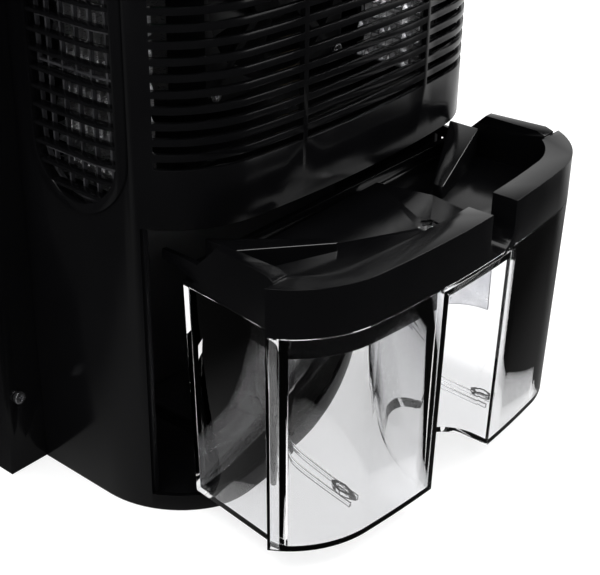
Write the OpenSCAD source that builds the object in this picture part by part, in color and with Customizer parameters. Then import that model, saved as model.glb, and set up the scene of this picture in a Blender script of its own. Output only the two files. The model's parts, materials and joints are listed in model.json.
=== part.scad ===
// Compact dehumidifier with a clear water tank that slides out at the back of a gloss black cabinet.
// Origin: on the floor, at the middle of the cabinet. +Z is up, +Y faces the front fascia, the tank leaves
// towards -Y. The tank is drawn pulled out by tank_out.

/* [Cabinet] */
// Width of the cabinet behind the fascia
cabinet_w = 224; // [200:1:270]
// Depth from the fascia's back plane to the middle of the curved rear
cabinet_d = 98; // [88:1:120]
// Height of the shell's walls
shell_h = 340; // [300:1:420]
// Radius of the rounded rear corners
corner_r = 50; // [40:1:70]
// Radius of the gently curved rear
rear_r = 600; // [400:10:900]
// Wall of the cabinet shell
shell_wall = 2.5; // [2:0.1:4]
// Half width of the tank opening
opening_half = 106.5; // [90:0.5:108]
// Height of the lip under the tank opening
lip_h = 8; // [6:0.5:12]
// Height of the tank opening's upper edge
opening_top = 141; // [130:1:165]

/* [Fascia and top] */
// Width of the front fascia
fascia_w = 266; // [240:1:310]
// Depth of the front fascia
fascia_d = 32; // [24:1:45]
// Thickness of the top cover
top_h = 10; // [8:1:16]
// Radius of the fascia's upright edges
fascia_edge_r = 6; // [3:0.5:10]

/* [Rear louvres] */
// Height of the lowest louvre slot
louvre_z = 167; // [160:1:185]
// Spacing of the louvre slots
louvre_pitch = 6.56; // [5.5:0.05:8]
// Height of one louvre slot
louvre_gap = 3.6; // [2.5:0.1:4.5]
// Number of louvre slots in a column
louvre_rows = 22; // [12:1:23]
// Half width of the louvred field
louvre_half = 103; // [85:1:104]
// Width of the two upright ribs between the columns
louvre_rib = 2.6; // [2:0.1:5]

/* [Side intakes] */
// Width of a side intake frame
intake_w = 56; // [40:1:60]
// Height of a side intake frame
intake_h = 176; // [120:1:185]
// Height of the lowest point of the intake frame
intake_z = 141; // [135:1:160]
// Spacing of the intake slats
intake_pitch = 8; // [6:0.25:12]
// Width of the rim round the intake slats
intake_rim = 4.5; // [3:0.5:8]
// Thickness of an intake slat
intake_slat = 1.4; // [1:0.1:3]

/* [Tank] */
// Distance the tank is drawn out at rest
tank_out = 65; // [0:1:70]
// Height of the tank's underside
tank_z = 10.4; // [10:0.1:14]
// Height of the clear tank
tank_h = 105.2; // [90:0.2:110]
// Wall of the clear tank
tank_wall = 2.2; // [1.6:0.1:3]
// Depth of the tank at its middle
tank_d = 83; // [70:1:86]
// Radius of the finger recess in the tank's face
recess_r = 23; // [15:0.5:30]
// Depth of the finger recess
recess_d = 32; // [24:1:45]
// Distance from the tank's rim to the top of the finger recess
recess_drop = 5; // [4:0.5:20]

/* [Tank lid] */
// Height of the lid's rim
rim_h = 22; // [16:0.5:23]
// Width of the lid's rim along the face
rim_w = 12.5; // [8:0.5:18]
// Radius of the pouring notch
notch_r = 9.5; // [5:0.5:12]
// Sideways place of the pouring notch
notch_x = 15; // [-20:1:30]

/* [Fan] */
// Outer diameter of the fan rotor
rotor_d = 84; // [60:1:86]
// Number of fan blades
blade_count = 7; // [5:1:11]
// Diameter of the rotor hub
hub_d = 34; // [24:1:40]
// Diameter of the fan shaft
shaft_d = 4; // [3:0.5:6]

/* [Hidden] */
$fn = 64;

fit = 0.3;
// Makes the corner arcs cross the rear arc instead of only touching it
join_lift = 0.02;
eps = 0.01;
big = 400;

// The fascia's back plane, the rear's middle and the fascia's face, in Y
total_d = cabinet_d + fascia_d;
rear_y = -total_d / 2;
joint_y = rear_y + cabinet_d;
front_y = total_d / 2;

// Centres of the rounded corners and of the rear arc
corner_x = cabinet_w / 2 - corner_r;
rear_cy = rear_y + rear_r;
corner_y = rear_cy - sqrt(pow(rear_r - corner_r, 2) - pow(corner_x, 2));
wedge_x = corner_x * rear_r * 1.1 / (rear_r - corner_r);
wedge_y = rear_cy - (rear_cy - corner_y) * rear_r * 1.1 / (rear_r - corner_r);

// Tank sizes
tank_top = tank_z + tank_h;
rim_top = tank_top + rim_h;
lid_z = tank_top + 0.4;
notch_z = rim_top - 12;
tank_gap = 0.6;
face_half = opening_half - tank_gap;
side_half = face_half - 5;
side_taper = 5.5;
back_half = side_half - side_taper;
tank_back_y = rear_y + tank_d;
flange_d = 30;
arm_len = 12;
blade_w = 8;
blade_top = opening_top - 1;
blade_front_y = rear_y + 29;
blade_back_y = rear_y + 62;
blade_foot_y = rear_y + 74;
lid_floor = 2;
skirt_h = 10;
runner_x = 55;
runner_w = 1.5;
runner_gap = 4.4;
rail_w = 2.6;
drain_x = 12;
drain_y = rear_y + 36;
drain_r = 5;

// Tank bay
bay_half = opening_half + 0.6;
bay_wall = 1.8;
bay_back_y = tank_back_y + arm_len + 1.2;
bay_roof_z = opening_top + 2;
bay_step_y = rear_y + flange_d + 1.5;
bay_back_half = side_half + 0.4;
tray_h = 6;

// Peltier stack, from front to back
stack_z = 216;
cold_w = 150;
cold_h = 96;
cold_base_y = joint_y + 12;
cold_base_t = 5;
cold_fin_d = 14;
module_t = 3.8;
module_w = 40;
hot_w = 92;
hot_h = 92;
hot_base_t = 5;
hot_fin_d = 22;

// Fan
fan_frame_w = 92;
fan_frame_d = 20;

module mirrored_pair() {
    children();
    mirror([1, 0, 0]) children();
}

module at_grid(xs, zs, y) {
    for (x = xs, z = zs) translate([x, y, z]) children();
}

// Plan of the cabinet, moved in by inset all along the rear and the sides
module cabinet_plan(inset = 0) {
    intersection() {
        translate([0, rear_cy]) circle(r = rear_r - inset, $fn = 360);
        polygon([[-corner_x, corner_y], [-wedge_x, wedge_y], [wedge_x, wedge_y], [corner_x, corner_y]]);
    }
    mirrored_pair() intersection() {
        translate([corner_x - join_lift, corner_y]) circle(r = corner_r + join_lift - inset);
        polygon([[corner_x, corner_y], [wedge_x - 6, wedge_y], [cabinet_w, wedge_y], [cabinet_w, corner_y]]);
    }
    translate([inset - cabinet_w / 2, corner_y]) square([cabinet_w - 2 * inset, joint_y - corner_y]);
}

module cabinet_solid(inset, z, h) {
    translate([0, 0, z]) linear_extrude(h) cabinet_plan(inset);
}

// An upright stadium in the Y-Z plane, running d along X, its lowest point at z = 0
module stadium(w, h, d) {
    for (z = [w / 2, h - w / 2]) translate([0, 0, z]) rotate([0, 90, 0]) cylinder(d = w, h = d);
    translate([0, -w / 2, w / 2]) cube([d, w, h - w]);
}

module pan_screw(d, length, head_d, head_h) {
    cylinder(d = d, h = length);
    translate([0, 0, -head_h]) difference() {
        cylinder(d = head_d, h = head_h);
        for (a = [0, 90]) rotate(a) translate([-head_d * 0.3, -0.4, -eps])
            cube([head_d * 0.6, 0.8, head_h * 0.6]);
    }
}

// ---- Cabinet ----

louvre_ribs = [-0.374 * louvre_half, 0.453 * louvre_half];
intake_y = rear_y + 62;
intake_slot_w = intake_w - 2 * intake_rim;
intake_slot_h = intake_h - 2 * intake_rim;

module louvre_slots() {
    edges = [-louvre_half, louvre_ribs[0], louvre_ribs[1], louvre_half];
    for (row = [0:louvre_rows - 1], column = [0:2]) {
        start = edges[column] + (column > 0 ? louvre_rib / 2 : 0);
        stop = edges[column + 1] - (column < 2 ? louvre_rib / 2 : 0);
        translate([start, rear_y - 1, louvre_z + row * louvre_pitch])
            cube([stop - start, corner_r + 1 - (corner_y - rear_y) / 3, louvre_gap]);
    }
}

module rear_shell() {
    color("#101012") difference() {
        cabinet_solid(0, 0, shell_h);
        difference() {
            cabinet_solid(shell_wall, -1, shell_h + 2);
            fascia_bosses();
        }
        translate([-opening_half, rear_y - 1, lip_h])
            cube([2 * opening_half, cabinet_d - 20, opening_top - lip_h]);
        louvre_slots();
        mirrored_pair() translate([-cabinet_w / 2 - 1, intake_y, intake_z])
            stadium(intake_w, intake_h, intake_depth);
        fascia_screw_holes();
    }
}

boss_zs = [44, shell_h - 11];
boss_d = 8;
boss_x = cabinet_w / 2 - shell_wall - boss_d / 2 + 1.9;
boss_len = 14;
screw_d = 3;

module fascia_bosses() {
    mirrored_pair() for (z = boss_zs) translate([-boss_x, joint_y, z]) rotate([90, 0, 0])
        cylinder(d = boss_d, h = boss_len);
}

module fascia_screw_holes() {
    mirrored_pair() for (z = boss_zs) translate([-boss_x, joint_y + 1, z]) rotate([90, 0, 0])
        cylinder(d = screw_d, h = boss_len + 2);
}

module base_tray() {
    color("#141416") difference() {
        union() {
            cabinet_solid(shell_wall + fit, 0, tray_h);
            mirrored_pair() translate([runner_x - rail_w / 2, rear_y + shell_wall + 6, tray_h - eps])
                cube([rail_w, bay_back_y - rear_y - shell_wall - 7, tank_z - 1 - tray_h]);
        }
        for (p = foot_places) translate([p[0], p[1], -1])
            cylinder(d = foot_d + 2 * fit, h = 1 + foot_recess);
        for (p = base_screw_places) translate([p[0], p[1], -1]) cylinder(d = screw_d + 0.4, h = tray_h + 4);
        for (p = base_screw_places) translate([p[0], p[1], -1]) cylinder(d = 7, h = 1 + 2.6);
    }
}

foot_d = 14;
foot_recess = 1.5;
foot_places = [for (x = [-80, 80], y = [rear_y + 26, joint_y - 14]) [x, y]];
base_screw_places = [for (x = [-60, 60], y = [rear_y + 14, joint_y - 6]) [x, y]];

module rubber_feet() {
    color("#1c1c1e") for (p = foot_places) translate([p[0], p[1], 0]) cylinder(d = foot_d, h = foot_recess);
}

module base_screws() {
    color("silver") for (p = base_screw_places) translate([p[0], p[1], 2.2])
        pan_screw(screw_d, 5, 5.6, 1.8);
}

// Front fascia: a shallow hollow box, open at the back behind the cabinet's walls
fascia_wall = 3;

module rounded_plate(w, d, h, r) {
    translate([-w / 2, 0, 0]) cube([w, d - r, h]);
    translate([-w / 2 + r, 0, 0]) cube([w - 2 * r, d, h]);
    for (x = [-w / 2 + r, w / 2 - r]) translate([x, d - r, 0]) cylinder(r = r, h = h);
}

module front_fascia() {
    color("#0c0c0e") difference() {
        union() {
            translate([0, joint_y + fit / 3, 0]) difference() {
                rounded_plate(fascia_w, fascia_d - fit / 3, shell_h, fascia_edge_r);
                translate([0, fascia_wall, fascia_wall])
                    rounded_plate(fascia_w - 2 * fascia_wall, fascia_d - 2 * fascia_wall,
                        shell_h - 2 * fascia_wall, fascia_edge_r - 2);
                translate([-cabinet_w / 2 + 12, -1, 12])
                    cube([cabinet_w - 24, fascia_wall + 2, shell_h - 24]);
            }
            mirrored_pair() for (z = fascia_screw_zs) translate([-fascia_screw_x, joint_y + 1, z])
                rotate([-90, 0, 0]) cylinder(d = 8, h = fascia_d - 2);
        }
        mirrored_pair() for (z = fascia_screw_zs) translate([-fascia_screw_x, joint_y - 1, z])
            rotate([-90, 0, 0]) cylinder(d = screw_d, h = 14);
        mirrored_pair() for (z = boss_zs) translate([-boss_x, joint_y - 1, z])
            rotate([-90, 0, 0]) cylinder(d = screw_d + 0.4, h = fascia_wall + 2);
        translate([0, front_y - 2, panel_z]) rotate([-90, 0, 0]) cylinder(d = power_d + 2 * fit, h = 4);
        translate([0, front_y - fascia_wall - 1, panel_z]) rotate([-90, 0, 0])
            cylinder(d = power_d + 2 * fit, h = 6);
        translate([-mode_x, front_y - fascia_wall - 1, panel_z]) rotate([-90, 0, 0])
            cylinder(d = mode_d + 2 * fit, h = 6);
        translate([mode_x, front_y - fascia_wall - 1, panel_z]) rotate([-90, 0, 0])
            cylinder(d = lens_d + 2 * fit, h = 6);
    }
}

fascia_screw_x = fascia_w / 2 - 7.5;
fascia_screw_zs = [40, shell_h / 2, shell_h - 40];
panel_z = shell_h - 34;
power_d = 20;
mode_d = 11;
lens_d = 8;
mode_x = 32;

module fascia_screws() {
    color("silver") {
        mirrored_pair() for (z = fascia_screw_zs) translate([-fascia_screw_x, joint_y + fit / 3 - 0.2, z])
            rotate([-90, 0, 0]) pan_screw(screw_d - 0.2, 10, 6, 2);
        mirrored_pair() for (z = boss_zs) translate([-boss_x, joint_y + fascia_wall + 0.4, z])
            rotate([90, 0, 0]) pan_screw(screw_d - 0.2, 12, 6, 2);
    }
}

module top_cover() {
    color("#0c0c0e") difference() {
        translate([0, 0, shell_h + 0.2]) union() {
            linear_extrude(top_h - 0.2) cabinet_plan(0);
            translate([0, joint_y - eps, 0]) rounded_plate(fascia_w, fascia_d, top_h - 0.2, fascia_edge_r);
        }
        translate([0, -6, shell_h + top_h - 4]) linear_extrude(5) hand_recess_plan();
        for (p = top_screw_places) translate([p[0], p[1], shell_h - 1]) cylinder(d = screw_d, h = 6);
    }
}

top_screw_places = [for (x = [-86, 86], y = [-34, 10]) [x, y]];

module hand_recess_plan() {
    square([86, 26], center = true);
    for (x = [-43, 43]) translate([x, 0]) circle(d = 26);
}

// Screws driven up from inside into the top cover
module top_screws() {
    color("silver") for (p = top_screw_places) translate([p[0], p[1], shell_h])
        pan_screw(screw_d - 0.2, 5, 6, 2);
}

// ---- Tank bay ----

// Plan of the bay, wide behind the opening and narrower further in, grown by grow
module bay_plan(grow) {
    translate([-bay_half - grow, rear_y - 1])
        square([2 * (bay_half + grow), bay_step_y + grow - rear_y + 1]);
    translate([-bay_back_half - grow, bay_step_y])
        square([2 * (bay_back_half + grow), bay_back_y + grow - bay_step_y]);
}

module tank_bay() {
    color("#0a0a0b") difference() {
        intersection() {
            cabinet_solid(shell_wall + fit, tray_h + fit, bay_roof_z + bay_wall - tray_h - fit);
            linear_extrude(big) bay_plan(bay_wall);
        }
        translate([0, 0, -1]) linear_extrude(bay_roof_z + 1) bay_plan(0);
        translate([drain_x, drain_y, bay_roof_z - 1]) cylinder(d = 12, h = bay_wall + 2);
        translate([switch_x, bay_back_y - 1, switch_z]) rotate([-90, 0, 0])
            cylinder(d = plunger_d + 0.4, h = bay_wall + 2);
    }
}

// Funnel that leads the condensate through the bay's roof into the tank

module drip_funnel() {
    floor_z = bay_roof_z + bay_wall + fit;
    color("#202226") difference() {
        union() {
            translate([-cold_w / 2 - 4, drain_y - 9, floor_z])
                cube([cold_w + 8, cold_base_y - drain_y + 5, 14]);
            translate([drain_x, drain_y, bay_roof_z + 1]) cylinder(d = 11, h = bay_wall + 2);
        }
        translate([-cold_w / 2 - 2, drain_y - 7, floor_z + 2.5])
            cube([cold_w + 4, cold_base_y - drain_y + 1, 14]);
        translate([drain_x, drain_y, bay_roof_z]) cylinder(d = 7, h = 12);
    }
}

// ---- Side intakes ----

// A band of the curved wall between two insets, seen through a window in the Y-Z plane
module wall_band(outer_inset, inner_inset) {
    intersection() {
        difference() {
            cabinet_solid(outer_inset, intake_z - 10, intake_h + 20);
            cabinet_solid(inner_inset, intake_z - 11, intake_h + 22);
        }
        translate([-cabinet_w / 2 - 2, 0, 0]) children();
    }
}

intake_depth = cabinet_w / 2 - opening_half + 25;

module intake_grille() {
    slat_count = floor(intake_slot_h / intake_pitch);
    difference() {
        union() {
            wall_band(-0.8, shell_wall + 0.4)
                translate([0, intake_y, intake_z + fit])
                    stadium(intake_w - 2 * fit, intake_h - 2 * fit, intake_depth);
            wall_band(shell_wall + 0.2, shell_wall + 1.6)
                translate([0, intake_y, intake_z - 2]) stadium(intake_w + 4, intake_h + 4, intake_depth);
        }
        translate([-cabinet_w / 2 - 2, intake_y, intake_z + intake_rim])
            stadium(intake_slot_w, intake_slot_h, intake_depth);
    }
    wall_band(0, shell_wall + 1.8) intersection() {
        translate([0, intake_y, intake_z + intake_rim - 0.5])
            stadium(intake_slot_w + 1, intake_slot_h + 1, intake_depth);
        for (i = [1:slat_count])
            translate([0, intake_y - intake_w / 2, intake_z + intake_rim + (i - 0.5) * intake_pitch])
            cube([intake_depth, intake_w, intake_slat]);
    }
}

module left_intake_grille() {
    color("#111113") intake_grille();
}

module right_intake_grille() {
    color("#111113") mirror([1, 0, 0]) intake_grille();
}

// Air filter behind an intake: a curved frame with upright and level bars
filter_t = 2;
filter_inset = shell_wall + 2;

module intake_filter() {
    w = intake_slot_w + 4;
    h = intake_slot_h + 4;
    z = intake_z + intake_rim - 2;
    wall_band(filter_inset, filter_inset + filter_t) difference() {
        translate([0, intake_y, z]) stadium(w, h, intake_depth + 4);
        difference() {
            translate([-1, intake_y, z + 2.5]) stadium(w - 5, h - 5, intake_depth + 6);
            for (i = [-2:2]) translate([0, intake_y + i * w / 6 - 0.5, z]) cube([intake_depth + 4, 1, h]);
            for (i = [1:8]) translate([0, intake_y - w / 2, z + i * h / 9 - 0.5])
                cube([intake_depth + 4, w, 1]);
        }
    }
}

module left_filter() {
    color("#3a3c40") intake_filter();
}

module right_filter() {
    color("#3a3c40") mirror([1, 0, 0]) intake_filter();
}

// ---- Cooling stack ----

module fins(count, w, h, d, t) {
    for (i = [0:count - 1]) translate([-w / 2 + i * (w - t) / (count - 1), 0, 0]) cube([t, d, h]);
}

// The cold side: a plate with upright fins towards the fascia
module cold_heatsink() {
    color("#c9ccd0") translate([0, cold_base_y - cold_base_t, stack_z - cold_h / 2]) {
        translate([-cold_w / 2, 0, 0]) cube([cold_w, cold_base_t, cold_h]);
        translate([0, cold_base_t - eps, 0]) fins(30, cold_w, cold_h, cold_fin_d, 1.2);
    }
}

module peltier_module() {
    color("#e8e4da") translate([-module_w / 2, module_y, stack_z - module_w / 2])
        cube([module_w, module_t, module_w]);
}

module_y = cold_base_y - cold_base_t - module_t;

module module_gasket() {
    color("#2c2c2e") translate([0, module_y, stack_z]) difference() {
        translate([-hot_w / 2, 0.1, -hot_h / 2]) cube([hot_w, module_t - 0.2, hot_h]);
        translate([-module_w / 2 - fit, -1, -module_w / 2 - fit])
            cube([module_w + 2 * fit, module_t + 2, module_w + 2 * fit]);
        at_grid([-clamp_x, clamp_x], [0], module_t + 1) rotate([90, 0, 0])
            cylinder(d = 3.6, h = module_t + 2);
    }
}

clamp_x = 30;

// The hot side: a plate with upright fins towards the fan
module hot_heatsink() {
    color("#b9bcc0") difference() {
        union() {
            translate([-hot_w / 2, module_y - hot_base_t, stack_z - hot_h / 2])
                cube([hot_w, hot_base_t, hot_h]);
            translate([0, module_y - hot_base_t - hot_fin_d + eps, stack_z - hot_h / 2])
                fins(20, hot_w, hot_h, hot_fin_d, 1.4);
        }
        at_grid([-clamp_x, clamp_x], [stack_z], module_y + 1) rotate([90, 0, 0])
            cylinder(d = 3.4, h = hot_base_t + 2);
        at_grid([-clamp_x, clamp_x], [stack_z], module_y - hot_base_t) rotate([90, 0, 0])
            cylinder(d = 9, h = hot_fin_d + 1);
    }
}

module module_clamp_screws() {
    color("silver") at_grid([-clamp_x, clamp_x], [stack_z], module_y - hot_base_t)
        rotate([-90, 0, 0]) pan_screw(2.9, hot_base_t + module_t, 6, 2);
}

// ---- Fan ----

hot_fin_back_y = module_y - hot_base_t - hot_fin_d;
shroud_d = 3;
fan_front_y = hot_fin_back_y - shroud_d - 0.2;
fan_back_y = fan_front_y - fan_frame_d;
bearing_d = 9;
fan_hole = 41.5;

module fan_frame() {
    color("#18181a") difference() {
        translate([-fan_frame_w / 2, fan_back_y, stack_z - fan_frame_w / 2])
            cube([fan_frame_w, fan_frame_d, fan_frame_w]);
        difference() {
            translate([0, fan_front_y + 1, stack_z]) rotate([90, 0, 0])
                cylinder(d = rotor_d + 3, h = fan_frame_d + 2);
            translate([0, fan_back_y + 3, stack_z]) rotate([90, 0, 0]) cylinder(d = hub_d, h = 5);
            for (a = [45, 135]) translate([0, fan_back_y - 1, stack_z]) rotate([0, a, 0])
                translate([-2, 0, -rotor_d]) cube([4, 3.6, 2 * rotor_d]);
            translate([0, fan_back_y + 9, stack_z]) rotate([90, 0, 0]) cylinder(d = bearing_d + 4, h = 8);
        }
        translate([0, fan_back_y + 20, stack_z]) rotate([90, 0, 0]) cylinder(d = bearing_d, h = 30);
        at_grid([-fan_hole, fan_hole], [stack_z - fan_hole, stack_z + fan_hole], fan_front_y + 1)
            rotate([90, 0, 0]) cylinder(d = 3.4, h = fan_frame_d + 2);
    }
}

module fan_bearing() {
    color("#b08d4a") difference() {
        translate([0, fan_back_y + 9, stack_z]) rotate([90, 0, 0]) cylinder(d = bearing_d, h = 8);
        translate([0, fan_back_y + 10, stack_z]) rotate([90, 0, 0]) cylinder(d = shaft_d + 0.1, h = 10);
    }
}

module fan_shaft() {
    color("silver") translate([0, fan_back_y + 16, stack_z]) rotate([90, 0, 0])
        cylinder(d = shaft_d, h = 14.5);
}

module fan_rotor() {
    color("#222225") {
        difference() {
            union() {
                translate([0, fan_back_y + 17, stack_z]) rotate([90, 0, 0]) cylinder(d = hub_d - 1, h = 13);
                for (i = [0:blade_count - 1]) translate([0, fan_back_y + 10.5, stack_z])
                    rotate([0, i * 360 / blade_count, 0])
                    translate([0, 0, hub_d / 2 - 1.5]) rotate([0, 0, 38]) translate([-11, -0.7, 0])
                        cube([22, 1.4, (rotor_d - hub_d) / 2 - 0.5]);
            }
            translate([0, fan_back_y + 14, stack_z]) rotate([90, 0, 0]) cylinder(d = bearing_d + 7, h = 14);
            translate([0, fan_back_y + 20, stack_z]) rotate([90, 0, 0]) cylinder(d = shaft_d, h = 14);
        }
    }
}

module fan_shroud() {
    color("#19191b") difference() {
        translate([-fan_frame_w / 2, fan_front_y + 0.1, stack_z - fan_frame_w / 2])
            cube([fan_frame_w, shroud_d - 0.1, fan_frame_w]);
        translate([0, fan_front_y + shroud_d + 1, stack_z]) rotate([90, 0, 0])
            cylinder(d = rotor_d + 3, h = shroud_d + 2);
        at_grid([-fan_hole, fan_hole], [stack_z - fan_hole, stack_z + fan_hole], fan_front_y + shroud_d + 1)
            rotate([90, 0, 0]) cylinder(d = 3, h = shroud_d + 2);
    }
}

module fan_screws() {
    color("silver") at_grid([-fan_hole, fan_hole], [stack_z - fan_hole, stack_z + fan_hole], fan_back_y - 0.1)
        rotate([-90, 0, 0]) pan_screw(2.9, fan_frame_d + shroud_d, 6, 2);
}

// ---- Electrics ----

board_y = front_y - fascia_wall - 13;
board_w = 96;
board_h = 60;
board_z = panel_z - 8;
board_hole_x = 43;
board_hole_z = 24;

module circuit_board() {
    color("#1f5a36") difference() {
        union() {
            translate([-board_w / 2, board_y - 1.6, board_z - board_h / 2]) cube([board_w, 1.6, board_h]);
            translate([-34, board_y - 13.6, board_z - 24]) cube([16, 12.1, 22]);
            translate([4, board_y - 9.6, board_z - 22]) cube([24, 8.1, 14]);
            for (x = [-4, 36]) translate([x, board_y - 1.5, board_z - 4]) rotate([90, 0, 0])
                cylinder(d = 8, h = 11);
        }
        at_grid([-board_hole_x, board_hole_x], [board_z - board_hole_z, board_z + board_hole_z], board_y + 1)
            rotate([90, 0, 0]) cylinder(d = 3.2, h = 4);
    }
}

// Carrier behind the fascia that guides the buttons and holds the board
carrier_t = 3;
carrier_y = front_y - fascia_wall - carrier_t - 0.2;

module button_carrier() {
    color("#26262a") difference() {
        union() {
            translate([-board_w / 2, carrier_y, board_z - board_h / 2]) cube([board_w, carrier_t, board_h]);
            at_grid([-board_hole_x, board_hole_x], [board_z - board_hole_z, board_z + board_hole_z], carrier_y + 1)
                rotate([90, 0, 0]) cylinder(d = 7, h = carrier_y + 1 - board_y - 0.1);
        }
        translate([0, carrier_y - 1, panel_z]) rotate([-90, 0, 0])
            cylinder(d = power_stem_d + 2 * fit, h = carrier_t + 2);
        translate([-mode_x, carrier_y - 1, panel_z]) rotate([-90, 0, 0])
            cylinder(d = mode_stem_d + 2 * fit, h = carrier_t + 2);
        translate([mode_x, carrier_y - 1, panel_z]) rotate([-90, 0, 0])
            cylinder(d = lens_d - 1, h = carrier_t + 2);
        at_grid([-board_hole_x, board_hole_x], [board_z - board_hole_z, board_z + board_hole_z], carrier_y + 2)
            rotate([90, 0, 0]) cylinder(d = 2.8, h = 12);
    }
}

module board_screws() {
    color("silver") at_grid([-board_hole_x, board_hole_x], [board_z - board_hole_z, board_z + board_hole_z], board_y - 1.7)
        rotate([-90, 0, 0]) pan_screw(2.6, 8, 5, 1.8);
}

power_stem_d = 8;
mode_stem_d = 6;
button_proud = 1.4;
spring_gap = 1.6;

module push_button(x, d, stem_d) {
    cap_y = carrier_y + carrier_t + 0.2 + spring_gap;
    translate([x, 0, panel_z]) rotate([-90, 0, 0]) {
        translate([0, 0, cap_y]) cylinder(d = d, h = front_y + button_proud - cap_y);
        translate([0, 0, carrier_y - 2]) cylinder(d = stem_d, h = cap_y - carrier_y + 2 + eps);
    }
}

module button_spring(x, stem_d) {
    y = carrier_y + carrier_t + 0.1;
    color("silver") translate([x, y, panel_z]) rotate([-90, 0, 0]) difference() {
        cylinder(d = stem_d + 4, h = spring_gap);
        translate([0, 0, -1]) cylinder(d = stem_d + 1.6, h = 5);
    }
}

module power_button() {
    color("#d7d9dc") push_button(0, power_d, power_stem_d);
}

module power_spring() {
    button_spring(0, power_stem_d);
}

module mode_button() {
    color("#d7d9dc") push_button(-mode_x, mode_d, mode_stem_d);
}

module mode_spring() {
    button_spring(-mode_x, mode_stem_d);
}

module indicator_lens() {
    color("#9fd0ff") translate([mode_x, front_y - fascia_wall - 0.1, panel_z]) rotate([-90, 0, 0])
        cylinder(d = lens_d, h = fascia_wall + 0.5);
}

// Power inlet, a round socket low on the right-hand side of the cabinet
inlet_z = 24;
inlet_y = joint_y + 16;

module dc_inlet() {
    color("#1a1a1c") translate([fascia_w / 2 - fascia_wall - 14, inlet_y, inlet_z]) rotate([0, 90, 0])
        difference() {
        union() {
            cylinder(d = 12, h = 14);
            translate([-7, -7, 0]) cube([14, 14, 10]);
        }
        translate([0, 0, 4]) difference() {
            cylinder(d = 7.6, h = 12);
            translate([0, 0, -1]) cylinder(d = 2, h = 9);
        }
    }
}

// Reed switch that senses the float's magnet, and the switch that senses the tank
switch_x = 3 - back_half;
switch_z = lid_z + 10;
plunger_d = 5;

module reed_switch() {
    color("#2b2b30") translate([float_x - 9, bay_back_y + bay_wall + 0.1, float_z - 6]) cube([18, 6, 10]);
}

module tank_switch() {
    y = bay_back_y + bay_wall + 0.1;
    color("#2b2b30") difference() {
        translate([switch_x - 6, y, switch_z - 6]) cube([12, 10, 12]);
        translate([switch_x, y - 1, switch_z]) rotate([-90, 0, 0]) cylinder(d = plunger_d + 0.4, h = 8);
    }
}

module switch_plunger() {
    color("#d8d4c8") translate([switch_x, bay_back_y - 0.8, switch_z]) rotate([-90, 0, 0])
        cylinder(d = plunger_d, h = 7);
}

// ---- Tank ----

// Plan of the tank, moved in by inset: the curved face, and sides that draw in towards the back
module tank_plan(inset = 0) {
    intersection() {
        cabinet_plan(inset);
        polygon([[inset - side_half, rear_y - 1], [side_half - inset, rear_y - 1], [side_half - inset, rear_y + 29],
            [back_half - inset, tank_back_y - inset], [inset - back_half, tank_back_y - inset],
            [inset - side_half, rear_y + 29]]);
    }
}

// Plan of the curved face alone, which reaches past the sides to fill the opening
module face_plan(thickness) {
    intersection() {
        difference() {
            cabinet_plan(0);
            cabinet_plan(thickness);
        }
        translate([-face_half, rear_y - 1]) square([2 * face_half, flange_d]);
    }
}

module recess_solid(grow) {
    top = tank_top - recess_drop + grow;
    centre_y = rear_y + recess_d - recess_r;
    translate([0, centre_y, tank_z - 1]) cylinder(r = recess_r + grow, h = top - tank_z + 1);
    translate([-recess_r - grow, rear_y - 1, tank_z - 1])
        cube([2 * (recess_r + grow), centre_y - rear_y + 1, top - tank_z + 1]);
}

// Pairs of ribs under the tank that run on each side of the tray's rails
module runners() {
    mirrored_pair() for (x = [runner_x - runner_gap / 2 - runner_w, runner_x + runner_gap / 2])
        translate([x, rear_y + 20, lip_h + 0.4]) cube([runner_w, tank_d - 30, tank_z - lip_h]);
}

module tank_body() {
    color("#e8ecf8", 0.35) translate([0, -tank_out, 0]) difference() {
        union() {
            translate([0, 0, tank_z]) linear_extrude(tank_h) tank_plan();
            translate([0, 0, tank_z]) linear_extrude(tank_h) face_plan(tank_wall);
            runners();
        }
        difference() {
            translate([0, 0, tank_z + tank_wall]) linear_extrude(tank_h) tank_plan(tank_wall);
            recess_solid(tank_wall);
        }
        recess_solid(0);
    }
}

module recess_plate() {
    plate_h = 26;
    color("#dcdfe8", 0.6) translate([0, -tank_out, tank_top - recess_drop - plate_h - 3])
        linear_extrude(plate_h) intersection() {
        difference() {
            translate([0, rear_y + recess_d - recess_r]) circle(r = recess_r - 0.1);
            translate([0, rear_y + recess_d - recess_r]) circle(r = recess_r - 0.9);
        }
        translate([-recess_r, rear_y + recess_d - recess_r]) square([2 * recess_r, recess_r]);
    }
}

module lid_blade() {
    rotate([90, 0, 90]) linear_extrude(blade_w)
        polygon([[blade_front_y, lid_z], [blade_front_y, blade_top - 1.5], [blade_front_y + 4, blade_top],
            [blade_back_y, blade_top], [blade_foot_y, lid_z + 12], [tank_back_y + arm_len, lid_z + 12],
            [tank_back_y + arm_len, lid_z + 8], [blade_foot_y + 2, lid_z + 4], [tank_back_y - 4, lid_z]]);
}

// A guide wedge that falls from the side wall to the lid's floor and turns drips towards the drain
module lid_wedge() {
    hull() {
        translate([86, rear_y + 62, lid_z + 1]) cube([1, 16, 18]);
        translate([38, rear_y + 48, lid_z + 1]) cube([1, 5, 8]);
    }
}

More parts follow.
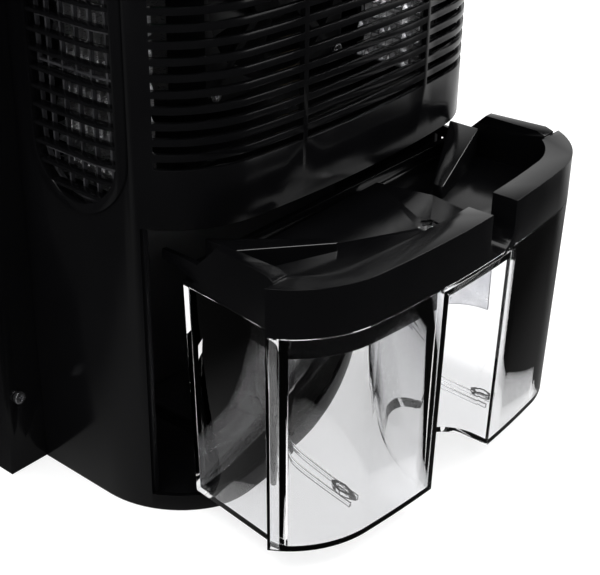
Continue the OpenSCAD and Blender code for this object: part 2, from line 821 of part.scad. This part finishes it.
module tank_lid() {
    color("#0e0e10") translate([0, -tank_out, 0]) difference() {
        union() {
            // floor over the whole tank
            translate([0, 0, lid_z]) linear_extrude(lid_floor) tank_plan();
            // rim along the face
            translate([0, 0, lid_z]) linear_extrude(rim_top - lid_z) face_plan(rim_w);
            // back edge
            translate([-back_half + 2, tank_back_y - 3, lid_z]) cube([2 * back_half - 4, 3, 8]);
            // side walls with their blades, following the tank's sides
            intersection() {
                mirrored_pair() translate([-side_half, 0, 0]) lid_blade();
                mirrored_pair() translate([0, 0, lid_z]) linear_extrude(big)
                    polygon([[-side_half, rear_y + 20], [-side_half + blade_w, rear_y + 20],
                        [-back_half + blade_w - 4, tank_back_y + arm_len], [-back_half, tank_back_y + arm_len],
                        [-back_half, tank_back_y], [-side_half, rear_y + 29]]);
            }
            mirrored_pair() lid_wedge();
            // skirt that hangs inside the tank's walls
            translate([0, 0, lid_z - skirt_h]) linear_extrude(skirt_h + eps) difference() {
                tank_plan(tank_wall + fit);
                tank_plan(tank_wall + fit + 1.6);
                translate([-recess_r - 6, rear_y - 1]) square([2 * recess_r + 12, recess_d + 6]);
            }
        }
        translate([notch_x, rear_y - 1, notch_z]) rotate([-90, 0, 0]) cylinder(r = notch_r, h = rim_w + 4);
        translate([notch_x - notch_r, rear_y - 1, notch_z]) cube([2 * notch_r, rim_w + 4, big]);
        translate([drain_x, drain_y, lid_z - skirt_h - 1]) cylinder(r = drain_r, h = 20);
    }
}

module lid_gasket() {
    color("#3a3a3e") translate([0, -tank_out, tank_top + 0.05]) linear_extrude(0.3) difference() {
        tank_plan(0.4);
        tank_plan(tank_wall - 0.2);
        translate([-recess_r, rear_y - 1]) square([2 * recess_r, 4]);
    }
}

// Float: a hinged arm with a foam block and a magnet, carried on a pin under the lid
float_x = 40;
float_z = tank_top - 22;
float_pin_y = tank_back_y - 52;
float_pin_d = 3;
arm_l = 38;

module float_arm() {
    color("#e6e6e2") translate([float_x, float_pin_y - tank_out, float_z]) difference() {
        union() {
            rotate([0, 90, 0]) translate([0, 0, -4]) cylinder(d = 7, h = 8);
            translate([-4, 0, -1.5]) cube([8, arm_l, 3]);
        }
        rotate([0, 90, 0]) translate([0, 0, -10]) cylinder(d = float_pin_d + 0.1, h = 20);
    }
}

module float_foam() {
    color("#f2f2ee") translate([float_x - 12, float_pin_y - tank_out + 16, float_z - 1.6 - 16])
        cube([24, 22, 16]);
}

module float_magnet() {
    color("#8c8f94") translate([float_x, float_pin_y - tank_out + arm_l - 5, float_z + 1.6])
        cylinder(d = 6, h = 3);
}

module float_pin() {
    color("#c8cad0") translate([float_x, float_pin_y - tank_out, 0]) {
        translate([-9, 0, float_z]) rotate([0, 90, 0]) cylinder(d = float_pin_d, h = 18);
        for (x = [-9, 7]) translate([x, -2.5, float_z - 2.5]) cube([2, 5, lid_z - float_z + 2.4]);
    }
}

rear_shell();
base_tray();
front_fascia();
top_cover();
tank_bay();
left_intake_grille();
right_intake_grille();
left_filter();
right_filter();
cold_heatsink();
hot_heatsink();
peltier_module();
module_gasket();
module_clamp_screws();
fan_frame();
fan_bearing();
fan_shaft();
fan_rotor();
fan_screws();
fan_shroud();
drip_funnel();
circuit_board();
board_screws();
dc_inlet();
reed_switch();
tank_switch();
switch_plunger();
power_button();
power_spring();
mode_button();
mode_spring();
indicator_lens();
button_carrier();
fascia_screws();
base_screws();
top_screws();
rubber_feet();
tank_body();
tank_lid();
lid_gasket();
recess_plate();
float_arm();
float_foam();
float_magnet();
float_pin();
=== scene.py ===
"""Looks for the dehumidifier: finer shells, clear tank, procedural materials, studio light, camera."""
import json
import math

import bmesh
import bpy
from mathutils import Matrix, Vector


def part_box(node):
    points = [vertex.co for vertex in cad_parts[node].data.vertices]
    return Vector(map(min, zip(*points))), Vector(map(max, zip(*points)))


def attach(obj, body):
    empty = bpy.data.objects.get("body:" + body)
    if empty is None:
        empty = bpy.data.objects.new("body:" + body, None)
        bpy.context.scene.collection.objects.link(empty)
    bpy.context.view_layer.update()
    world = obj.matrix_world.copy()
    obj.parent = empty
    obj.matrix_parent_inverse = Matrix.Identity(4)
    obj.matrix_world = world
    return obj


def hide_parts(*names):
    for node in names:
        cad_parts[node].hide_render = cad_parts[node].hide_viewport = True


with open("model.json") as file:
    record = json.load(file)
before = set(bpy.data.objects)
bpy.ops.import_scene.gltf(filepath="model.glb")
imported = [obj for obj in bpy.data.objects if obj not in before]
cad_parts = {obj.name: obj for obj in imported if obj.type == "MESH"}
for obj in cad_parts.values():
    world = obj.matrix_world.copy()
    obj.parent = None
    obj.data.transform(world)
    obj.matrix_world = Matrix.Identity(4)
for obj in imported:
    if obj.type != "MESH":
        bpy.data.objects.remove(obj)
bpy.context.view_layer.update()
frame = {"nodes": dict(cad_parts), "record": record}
nodes = frame["nodes"]
body_of = {n: b for b, members in frame["record"]["behaviour"]["bodies"].items() for n in members}
slot_of = {s["node"]: s["material_slot"] for s in frame["record"]["subparts"]}
scene = bpy.context.scene
MM = 0.001


# ---- Materials ----

class Graph:
    """A material's node tree with short calls for the nodes used here."""

    def __init__(self, name):
        self.mat = bpy.data.materials.new(name)
        self.mat.use_nodes = True
        self.tree = self.mat.node_tree
        self.bsdf = next(n for n in self.tree.nodes if n.type == "BSDF_PRINCIPLED")
        self.coords = self.add("ShaderNodeTexCoord").outputs["Object"]

    def add(self, kind, **inputs):
        node = self.tree.nodes.new(kind)
        for key, value in inputs.items():
            node.inputs[key].default_value = value
        return node

    def link(self, a, b):
        self.tree.links.new(a, b)

    def set(self, **values):
        for key, value in values.items():
            self.bsdf.inputs[key.replace("_", " ")].default_value = value

    def scaled(self, scale):
        mapping = self.add("ShaderNodeMapping")
        mapping.inputs["Scale"].default_value = scale
        self.link(self.coords, mapping.inputs["Vector"])
        return mapping.outputs["Vector"]

    def noise(self, scale, detail=3.0, rough=0.5, stretch=(1, 1, 1)):
        node = self.add("ShaderNodeTexNoise", Scale=scale, Detail=detail, Roughness=rough)
        self.link(self.scaled(stretch), node.inputs["Vector"])
        return node.outputs["Fac"]

    def ramp(self, source, low, high, at=(0.3, 0.7)):
        node = self.add("ShaderNodeValToRGB")
        for element, position, value in zip(node.color_ramp.elements, at, (low, high)):
            element.position = position
            element.color = value if isinstance(value, tuple) else (value, value, value, 1)
        self.link(source, node.inputs["Fac"])
        return node.outputs["Color"]

    def colour(self, source, low, high, at=(0.3, 0.7)):
        self.link(self.ramp(source, (*low, 1), (*high, 1), at), self.bsdf.inputs["Base Color"])

    def rough(self, source, low, high):
        self.link(self.ramp(source, low, high), self.bsdf.inputs["Roughness"])

    def bump(self, source, distance, strength=1.0):
        node = self.add("ShaderNodeBump", Strength=strength, Distance=distance)
        self.link(source, node.inputs["Height"])
        self.link(node.outputs["Normal"], self.bsdf.inputs["Normal"])


def moulded(name, low, high, rough, grain=900.0, depth=0.00002, specular=0.5):
    """Moulded plastic, rubber or foam: two close colours, uneven gloss and a fine grain."""
    g = Graph(name)
    g.set(Specular_IOR_Level=specular)
    g.colour(g.noise(14.0), low, high)
    g.rough(g.noise(60.0, 4.0), rough[0], rough[1])
    g.bump(g.noise(grain, 2.0), depth, 0.35)
    return g.mat


def metal(name, low, high, rough, stretch=(1, 1, 1), scale=300.0):
    """Bare metal, whose brushing follows stretch."""
    g = Graph(name)
    g.set(Metallic=1.0)
    g.colour(g.noise(40.0), low, high)
    g.rough(g.noise(scale, 3.0, 0.5, stretch), rough[0], rough[1])
    g.bump(g.noise(scale, 2.0, 0.5, stretch), 0.00003, 0.3)
    return g.mat


def clear(name, tint_low, tint_high, rough):
    """Clear plastic with a slight waviness."""
    g = Graph(name)
    g.set(Transmission_Weight=1.0, IOR=1.47, Specular_IOR_Level=0.5)
    g.colour(g.noise(9.0), tint_low, tint_high)
    g.rough(g.noise(35.0), rough[0], rough[1])
    g.bump(g.noise(22.0, 1.0), 0.0004, 0.06)
    return g.mat


def make_materials():
    frost = Graph("frosted")
    frost.set(Transmission_Weight=0.85, IOR=1.45)
    frost.colour(frost.noise(70.0), (0.80, 0.81, 0.85), (0.95, 0.95, 0.97))
    frost.rough(frost.noise(160.0), 0.22, 0.5)
    frost.bump(frost.noise(240.0, 4.0, 0.7), 0.0006, 0.8)
    filt = Graph("filter_mesh")
    filt.set(Specular_IOR_Level=0.3)
    filt.colour(filt.noise(200.0), (0.02, 0.02, 0.022), (0.05, 0.05, 0.055))
    filt.rough(filt.noise(90.0), 0.4, 0.6)
    filt.bump(filt.noise(1500.0), 0.0001, 0.4)
    return {
        "gloss_black": moulded("gloss_black", (0.0012, 0.0012, 0.0014), (0.0022, 0.0022, 0.0025),
                               (0.12, 0.2), 1100.0, 0.00001, 0.3),
        "satin_black": moulded("satin_black", (0.002, 0.002, 0.0024), (0.004, 0.004, 0.0046),
                               (0.3, 0.42), specular=0.2),
        "clear_plastic": clear("clear_plastic", (0.985, 0.987, 0.998), (0.995, 0.996, 1.0), (0.0, 0.012)),
        "frosted_plastic": frost.mat,
        "filter_mesh": filt.mat,
        "aluminium_fins": metal("aluminium_fins", (0.34, 0.34, 0.35), (0.6, 0.6, 0.61),
                                (0.22, 0.4), (1, 1, 12)),
        "ceramic": moulded("ceramic", (0.74, 0.72, 0.67), (0.84, 0.82, 0.78), (0.5, 0.65)),
        "foam_rubber": moulded("foam_rubber", (0.02, 0.02, 0.02), (0.05, 0.05, 0.05),
                               (0.7, 0.9), 1400.0, 0.0002),
        "bronze": metal("bronze", (0.42, 0.28, 0.12), (0.6, 0.42, 0.2), (0.3, 0.5)),
        "steel": metal("zinc_steel", (0.5, 0.5, 0.52), (0.68, 0.68, 0.7), (0.18, 0.34)),
        "board_green": moulded("board_green", (0.01, 0.09, 0.035), (0.02, 0.15, 0.06), (0.25, 0.4)),
        "button_silver": moulded("button_silver", (0.4, 0.41, 0.43), (0.5, 0.51, 0.53),
                                 (0.25, 0.35), 2500.0),
        "lens_blue": clear("lens_blue", (0.4, 0.66, 0.95), (0.5, 0.75, 1.0), (0.1, 0.2)),
        "feet_rubber": moulded("feet_rubber", (0.012, 0.012, 0.012), (0.03, 0.03, 0.03), (0.6, 0.8)),
        "float_foam": moulded("float_foam", (0.72, 0.72, 0.69), (0.86, 0.86, 0.83),
                              (0.7, 0.9), 1300.0, 0.0002),
        "white_plastic": moulded("white_plastic", (0.66, 0.66, 0.64), (0.76, 0.76, 0.74), (0.3, 0.42)),
    }


materials = make_materials()
for name, obj in nodes.items():
    obj.data.materials.clear()
    obj.data.materials.append(materials[slot_of[name]])


# ---- Finer copies of CAD nodes ----

WELD = 1e-6
FLAT_ANGLE = 0.5
BEVEL_ANGLE = 35.0
SHARP_ANGLE = 34.0


def cut_faces(bm):
    """Welds a CAD mesh and joins its flat triangles, so bevels run cleanly along the real edges."""
    bmesh.ops.remove_doubles(bm, verts=bm.verts, dist=WELD)
    bmesh.ops.dissolve_limit(bm, angle_limit=math.radians(FLAT_ANGLE), verts=bm.verts, edges=bm.edges)


def finish_piece(obj, body, slot, *replaced):
    obj.data.materials.clear()
    obj.data.materials.append(materials[slot])
    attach(obj, body)
    if replaced:
        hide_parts(*replaced)


def refined(node, width, segments=2, shape=None):
    """A copy of a CAD node with rounded edges, smooth curved faces, and an optional change of shape."""
    bm = bmesh.new()
    bm.from_mesh(nodes[node].data)
    cut_faces(bm)
    if shape:
        for v in bm.verts:
            v.co = shape(v.co)
    mesh = bpy.data.meshes.new(node + "_fine")
    bm.to_mesh(mesh)
    bm.free()
    obj = bpy.data.objects.new(node + "_fine", mesh)
    scene.collection.objects.link(obj)
    bevel = obj.modifiers.new("edges", "BEVEL")
    bevel.width = width * MM
    bevel.segments = segments
    bevel.limit_method = "ANGLE"
    bevel.angle_limit = math.radians(BEVEL_ANGLE)
    bevel.use_clamp_overlap = True
    bevel.harden_normals = False
    depsgraph = bpy.context.evaluated_depsgraph_get()
    final = bpy.data.meshes.new_from_object(obj.evaluated_get(depsgraph))
    obj.modifiers.clear()
    obj.data = final
    for p in final.polygons:
        p.use_smooth = True
    final.set_sharp_from_angle(angle=math.radians(SHARP_ANGLE))
    finish_piece(obj, body_of[node], slot_of[node], node)


lo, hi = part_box("tank_body")
TANK_MID = (lo + hi) / 2
TANK_HALF_X = 0.1
DRAFT = 0.0023


def drafted(co):
    """The tank narrows slightly towards its base."""
    share = (hi.z - co.z) / (hi.z - lo.z)
    half_y = (hi.y - lo.y) / 2
    return Vector((co.x - DRAFT * share * co.x / TANK_HALF_X,
                   co.y - DRAFT * share * (co.y - TANK_MID.y) / half_y, co.z))


refined("tank_body", 0.7, 3, shape=drafted)
refined("tank_lid", 0.9, 3)
refined("rear_shell", 0.5, 2)
refined("front_fascia", 0.8, 3)
refined("top_cover", 1.6, 4)
for name in ("left_intake_grille", "right_intake_grille"):
    refined(name, 0.35, 2)
for name in ("fascia_screws", "fan_screws", "board_screws", "base_screws", "top_screws",
             "module_clamp_screws"):
    refined(name, 0.15, 2)
for name in ("base_tray", "tank_bay", "fan_frame", "fan_rotor", "drip_funnel", "fan_shroud", "dc_inlet",
             "power_button", "mode_button", "float_arm", "float_foam"):
    refined(name, 0.3, 2)


# ---- Added pieces ----

def mesh_piece(name, verts, faces, body, slot):
    mesh = bpy.data.meshes.new(name)
    mesh.from_pydata([tuple(v) for v in verts], [], faces)
    mesh.validate()
    obj = bpy.data.objects.new(name, mesh)
    scene.collection.objects.link(obj)
    finish_piece(obj, body, slot)


CABINET_HALF = 0.112
CORNER_R = 0.050
CORNER_X = CABINET_HALF - CORNER_R
CORNER_Y = -0.0115    # where the side wall starts to turn


def side_wall_x(y, inset):
    """Half width of the cabinet's wall at depth y, moved in by inset."""
    r = CORNER_R - inset
    drop = CORNER_Y - y
    return CORNER_X + (math.sqrt(r * r - drop * drop) if drop > 0 else r)


FIN_Y = (-0.030, 0.020)
FIN_Z = (0.150, 0.318)
FIN_INSET = 0.0088
FIN_DEPTH = 0.006
FIN_THICK = 0.00035
FIN_PITCH = 0.0046
FIN_ROW_H = 0.0075
# a thin sheet's corners come in pairs, one for each of its two faces
SHEET_FACES = ((0, 1, 5, 4), (2, 6, 7, 3), (0, 4, 6, 2), (1, 3, 7, 5), (0, 2, 3, 1), (4, 5, 7, 6))


def fin_pack(side, name):
    """Folded fins behind a side intake: rows of triangle waves and of upright fins between level plates."""
    verts, faces = [], []

    def wall(a, b):
        """One thin sheet between two (y, z) points, from the outer side of the pack to its inner side."""
        base = len(verts)
        run = Vector((0, b[0] - a[0], b[1] - a[1])).normalized()
        across = Vector((0, -run.z, run.y)) * FIN_THICK / 2
        for y, z in (a, b):
            for inset in (FIN_INSET, FIN_INSET + FIN_DEPTH):
                x = side * side_wall_x(y, inset)
                verts.extend([Vector((x, y, z)) + across, Vector((x, y, z)) - across])
        faces.extend([tuple(base + i for i in corners) for corners in SHEET_FACES])

    rows = int((FIN_Z[1] - FIN_Z[0]) / FIN_ROW_H)
    count = int((FIN_Y[1] - FIN_Y[0]) / FIN_PITCH)
    for r in range(rows + 1):
        z = FIN_Z[0] + r * FIN_ROW_H
        top = z + FIN_ROW_H
        for c in range(count):
            y = FIN_Y[0] + c * FIN_PITCH
            wall((y, z), (y + FIN_PITCH, z))
            if r < rows and r % 2 == 0:
                crest = y + FIN_PITCH / 2
                wall((y, z), (crest, top))
                wall((crest, top), (y + FIN_PITCH, z))
            elif r < rows:
                wall((y, z), (y, top))
    mesh_piece(name, verts, faces, "cabinet", "aluminium_fins")


DRAIN = Vector((0.012, -0.094, 0.1188))
DRAIN_RING_R = 0.0062
FUNNEL_BASE_Z = 0.1181
FUNNEL_RIM = [Vector(v) for v in (
    (-0.085, -0.058, 0.1242), (-0.085, -0.100, 0.1225), (-0.055, -0.112, 0.1205),
    (0.030, -0.112, 0.1205), (0.034, -0.080, 0.1215), (0.024, -0.055, 0.1238))]


def lid_funnel():
    """Facets that fall from the lid's edges to a ring round the drain hole."""
    ring = []
    for corner in FUNNEL_RIM:
        run = Vector((corner.x - DRAIN.x, corner.y - DRAIN.y, 0)).normalized()
        ring.append(DRAIN + run * DRAIN_RING_R)
    low_rim = [Vector((v.x, v.y, FUNNEL_BASE_Z)) for v in FUNNEL_RIM]
    low_ring = [Vector((v.x, v.y, FUNNEL_BASE_Z)) for v in ring]
    n = len(FUNNEL_RIM)
    faces = []
    for i in range(n):
        j = (i + 1) % n
        faces += [(i, j, n + j, n + i), (2 * n + j, 2 * n + i, 3 * n + i, 3 * n + j),
                  (j, i, 2 * n + i, 2 * n + j), (n + i, n + j, 3 * n + j, 3 * n + i)]
    mesh_piece("lid_funnel", FUNNEL_RIM + ring + low_rim + low_ring, faces, "tank", "gloss_black")


RUNNER_X = 0.055
HOOK_Y = -0.103
HOOK_Z = (0.0126, 0.0146)
HOOK_HOLE = 0.55    # the hole's size as a share of the outline's
HOOK_OUTLINE = [(0, -0.0075), (0.0018, -0.004), (0.0026, 0), (0.0018, 0.004), (0, 0.006),
                (-0.0018, 0.004), (-0.0026, 0), (-0.0018, -0.004)]


def runner_hook(name, x):
    """A small pointed loop moulded at the outer end of a runner."""
    verts, faces = [], []
    n = len(HOOK_OUTLINE)
    for scale in (1.0, HOOK_HOLE):
        for z in HOOK_Z:
            verts += [Vector((x + dx * scale, HOOK_Y + dy * scale, z)) for dx, dy in HOOK_OUTLINE]
    for i in range(n):
        j = (i + 1) % n
        faces += [(i, j, n + j, n + i), (n + i, n + j, 3 * n + j, 3 * n + i),
                  (3 * n + i, 3 * n + j, 2 * n + j, 2 * n + i), (2 * n + i, 2 * n + j, j, i)]
    mesh_piece(name, verts, faces, "tank", "clear_plastic")


lid_funnel()
runner_hook("left_runner_hook", -RUNNER_X)
runner_hook("right_runner_hook", RUNNER_X)
fin_pack(-1, "left_fin_pack")
fin_pack(1, "right_fin_pack")


# ---- Floor, light and camera ----

AWAY = (0.745, 0.667, 0)    # towards the studio's bright far side
ALONG_FLOOR = (0.276, 0.961, 0)
DIM = 0.03
FAR_SIDE_LEVEL = 0.9


def reflected_only(tree):
    """1 for rays off a glossy surface that haven't been through glass, and 0 for all others."""
    path = tree.nodes.new("ShaderNodeLightPath")
    mirrored = tree.nodes.new("ShaderNodeMath")
    mirrored.operation = "SUBTRACT"
    mirrored.use_clamp = True
    tree.links.new(path.outputs["Is Glossy Ray"], mirrored.inputs[0])
    tree.links.new(path.outputs["Transmission Depth"], mirrored.inputs[1])
    return mirrored.outputs[0]


def along(tree, vector, direction):
    """How far a position or direction lies along direction."""
    dot = tree.nodes.new("ShaderNodeVectorMath")
    dot.operation = "DOT_PRODUCT"
    dot.inputs[1].default_value = direction
    tree.links.new(vector, dot.inputs[0])
    return dot.outputs["Value"]


def smooth_range(tree, value, start, end, low, high):
    """Goes smoothly from low at start to high at end."""
    span = tree.nodes.new("ShaderNodeMapRange")
    span.interpolation_type = "SMOOTHSTEP"
    for key, number in (("From Min", start), ("From Max", end), ("To Min", low), ("To Max", high)):
        span.inputs[key].default_value = number
    tree.links.new(value, span.inputs["Value"])
    return span.outputs["Result"]


def step_along(tree, vector, start, end):
    """Rises from a dim level to the far side's as a position or direction moves away."""
    return smooth_range(tree, along(tree, vector, AWAY), start, end, DIM, FAR_SIDE_LEVEL)


def painted_highlight_band(tree, vector, centre, half, level):
    """A soft band of painted highlight on the floor, where the position is near centre."""
    away = tree.nodes.new("ShaderNodeMath")
    away.operation = "SUBTRACT"
    away.inputs[1].default_value = centre
    tree.links.new(along(tree, vector, ALONG_FLOOR), away.inputs[0])
    size = tree.nodes.new("ShaderNodeMath")
    size.operation = "ABSOLUTE"
    tree.links.new(away.outputs[0], size.inputs[0])
    return smooth_range(tree, size.outputs[0], half, 0.0, 0.0, level)


def make_floor():
    """A pale floor that glows like paper to the camera, and shows black gloss a painted reflection: a dim
    glow, brighter on the far side, with a band of painted highlight.
    """
    mesh = bpy.data.meshes.new("floor")
    half = 3.0
    below_feet = -0.0002
    corners = [(-half, -half, 0), (half, -half, 0), (half, half, 0), (-half, half, 0)]
    mesh.from_pydata(corners, [], [(0, 1, 2, 3)])
    floor = bpy.data.objects.new("floor", mesh)
    floor.location.z = below_feet
    scene.collection.objects.link(floor)
    g = Graph("floor_paper")
    g.set(Specular_IOR_Level=0.2, Emission_Color=(1, 1, 1, 1), Emission_Strength=0.72)
    g.colour(g.noise(3.0), (0.32, 0.32, 0.322), (0.34, 0.34, 0.342))
    g.rough(g.noise(20.0), 0.5, 0.6)
    # painted reflection: black gloss sees the floor only as this dim glow, brighter on the far side, plus a
    # band of painted highlight that lays a bright vertical band on the body
    painted_reflection_glow = g.add("ShaderNodeEmission")
    place = g.add("ShaderNodeNewGeometry").outputs["Position"]
    painted_far_side_glow = step_along(g.tree, place, 0.10, 0.40)
    painted_highlight_streak = painted_highlight_band(g.tree, place, centre=-0.054, half=0.09, level=0.16)
    total = g.add("ShaderNodeMath")
    g.link(painted_far_side_glow, total.inputs[0])
    g.link(painted_highlight_streak, total.inputs[1])
    g.link(total.outputs[0], painted_reflection_glow.inputs["Strength"])
    mix = g.add("ShaderNodeMixShader")
    output = next(n for n in g.tree.nodes if n.type == "OUTPUT_MATERIAL")
    g.link(reflected_only(g.tree), mix.inputs["Fac"])
    g.link(g.bsdf.outputs[0], mix.inputs[1])
    g.link(painted_reflection_glow.outputs[0], mix.inputs[2])
    g.link(mix.outputs[0], output.inputs["Surface"])
    mesh.materials.append(g.mat)


def area_light(name, place, target, size, power):
    """A soft rectangle of light that faces target."""
    data = bpy.data.lights.new(name, "AREA")
    data.shape = "RECTANGLE"
    data.size, data.size_y = size
    data.energy = power
    obj = bpy.data.objects.new(name, data)
    obj.location = place
    obj.rotation_euler = (Vector(target) - Vector(place)).to_track_quat("-Z", "Y").to_euler()
    scene.collection.objects.link(obj)


def make_world():
    """White for the camera and through glass, and dim with a bright far side in black gloss."""
    world = bpy.data.worlds.new("studio")
    scene.world = world
    world.use_nodes = True
    tree = world.node_tree
    tree.nodes.clear()
    out = tree.nodes.new("ShaderNodeOutputWorld")
    white = tree.nodes.new("ShaderNodeBackground")
    white.inputs["Color"].default_value = (1, 1, 1, 1)
    white.inputs["Strength"].default_value = 1.0
    dim = tree.nodes.new("ShaderNodeBackground")
    dim.inputs["Color"].default_value = (1, 1, 1, 1)
    sky = tree.nodes.new("ShaderNodeTexCoord").outputs["Generated"]
    tree.links.new(step_along(tree, sky, 0.55, 0.95), dim.inputs["Strength"])
    mix = tree.nodes.new("ShaderNodeMixShader")
    tree.links.new(reflected_only(tree), mix.inputs["Fac"])
    tree.links.new(white.outputs[0], mix.inputs[1])
    tree.links.new(dim.outputs[0], mix.inputs[2])
    tree.links.new(mix.outputs[0], out.inputs["Surface"])


CAMERA_PLACE = (-0.43304, -0.39294, 0.37958)
CAMERA_YAW = 48.157
CAMERA_PITCH = 28.303


def make_camera():
    data = bpy.data.cameras.new("camera")
    data.sensor_width = 36.0
    data.lens = 80.13
    data.shift_x = 0.0631
    data.shift_y = -0.0203
    data.clip_end = 20.0
    obj = bpy.data.objects.new("camera", data)
    yaw, pitch = math.radians(CAMERA_YAW), math.radians(CAMERA_PITCH)
    ahead = Vector((math.sin(yaw) * math.cos(pitch), math.cos(yaw) * math.cos(pitch), -math.sin(pitch)))
    right = Vector((math.cos(yaw), -math.sin(yaw), 0))
    up = right.cross(ahead)
    turn = Matrix((right, up, -ahead)).transposed().to_4x4()
    obj.matrix_world = Matrix.Translation(CAMERA_PLACE) @ turn
    scene.collection.objects.link(obj)
    scene.camera = obj


make_floor()
make_world()
make_camera()
area_light("left_strip", (-1.9, 0.05, 0.7), (-0.1, 0.0, 0.15), (0.35, 2.0), 7.0)
area_light("top_soft", (-0.2, 0.15, 1.5), (0, -0.03, 0.2), (1.6, 1.2), 22.0)
area_light("edge_light", (0.9, -0.65, 1.05), (0, -0.05, 0.15), (0.9, 0.7), 16.0)
area_light("rear_soft", (0.9, -1.7, 0.4), (0, -0.1, 0.12), (0.5, 1.4), 4.0)

scene.view_settings.view_transform = "Standard"
